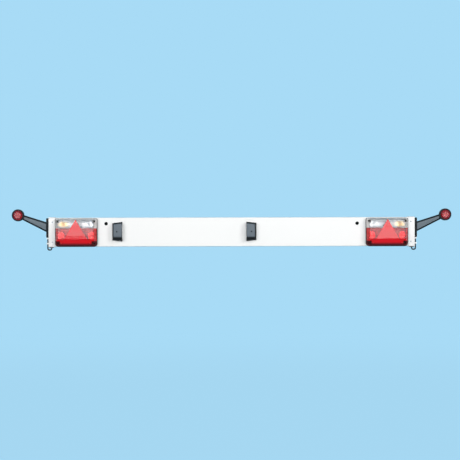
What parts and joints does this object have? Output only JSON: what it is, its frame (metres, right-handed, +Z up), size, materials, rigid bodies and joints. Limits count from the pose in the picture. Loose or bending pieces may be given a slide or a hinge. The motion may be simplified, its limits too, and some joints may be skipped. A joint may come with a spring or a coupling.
{
  "type": "trailer lighting board",
  "caption": "Long folded white board with rear lamps that hold triangular reflectors, number-plate lamps and rubber marker arms with round lamps, bolted to a trailer's tail.",
  "frame": {"origin": "midway between the two fixing bolts, on the plane of the channel's back lips", "axes": "+X to the right as seen from behind the trailer, along the board; +Y forwards along the road, out of the board's back; +Z up"},
  "size_m": [2.2, 0.1198, 0.2075],
  "materials": {
    "white_board": "white powder coat, satin",
    "white_plastic": "white, slightly glossy",
    "zinc_steel": "zinc plated, dull",
    "black_steel": "black coated",
    "black_plastic": "black, fine grain",
    "cover_plastic": "black, fine grain",
    "black_rubber": "black, matt",
    "foam_rubber": "black, matt",
    "cable_jacket": "black, satin",
    "clear_lens": "clear, glossy",
    "red_lens": "clear red, glossy",
    "red_reflector": "red reflector prisms, glossy",
    "silvered_plastic": "silvered, bright",
    "clear_glass": "clear",
    "amber_glass": "clear amber",
    "brass_spring": "plain",
    "light_unit": "white"
  },
  "bodies": {
    "root": {"board_channel": "white_board", "end_cap_screws": "zinc_steel", "fixing_bolts": "black_steel", "fog_bulbs": "clear_glass", "indicator_bulbs": "amber_glass", "lamp_bolts": "zinc_steel", "lamp_sockets": "black_plastic", "lead_clips": "white_plastic", "lead_grommets": "black_rubber", "left_clear_lens": "clear_lens", "left_end_cap": "white_plastic", "left_lamp_gasket": "foam_rubber", "left_lamp_housing": "black_plastic", "left_lamp_reflector": "silvered_plastic", "left_marker_arm": "black_rubber", "left_plate_lamp_base": "black_plastic", "left_plate_lamp_cover": "cover_plastic", "left_plate_lamp_lens": "clear_lens", "left_red_lens": "red_lens", "left_triangle_reflector": "red_reflector", "lens_screws": "black_steel", "marker_arm_bolts": "zinc_steel", "marker_clear_lenses": "clear_lens", "marker_leads": "cable_jacket", "marker_light_units": "light_unit", "marker_red_lenses": "red_lens", "plate_lamp_bulbs": "clear_glass", "plate_lamp_contacts": "brass_spring", "plate_lamp_screws": "black_steel", "reversing_bulbs": "clear_glass", "right_clear_lens": "clear_lens", "right_end_cap": "white_plastic", "right_lamp_gasket": "foam_rubber", "right_lamp_housing": "black_plastic", "right_lamp_reflector": "silvered_plastic", "right_marker_arm": "black_rubber", "right_plate_lamp_base": "black_plastic", "right_plate_lamp_cover": "cover_plastic", "right_plate_lamp_lens": "clear_lens", "right_red_lens": "red_lens", "right_triangle_reflector": "red_reflector", "spacer_bushes": "zinc_steel", "tail_bulbs": "clear_glass"}
  },
  "joints": []
}
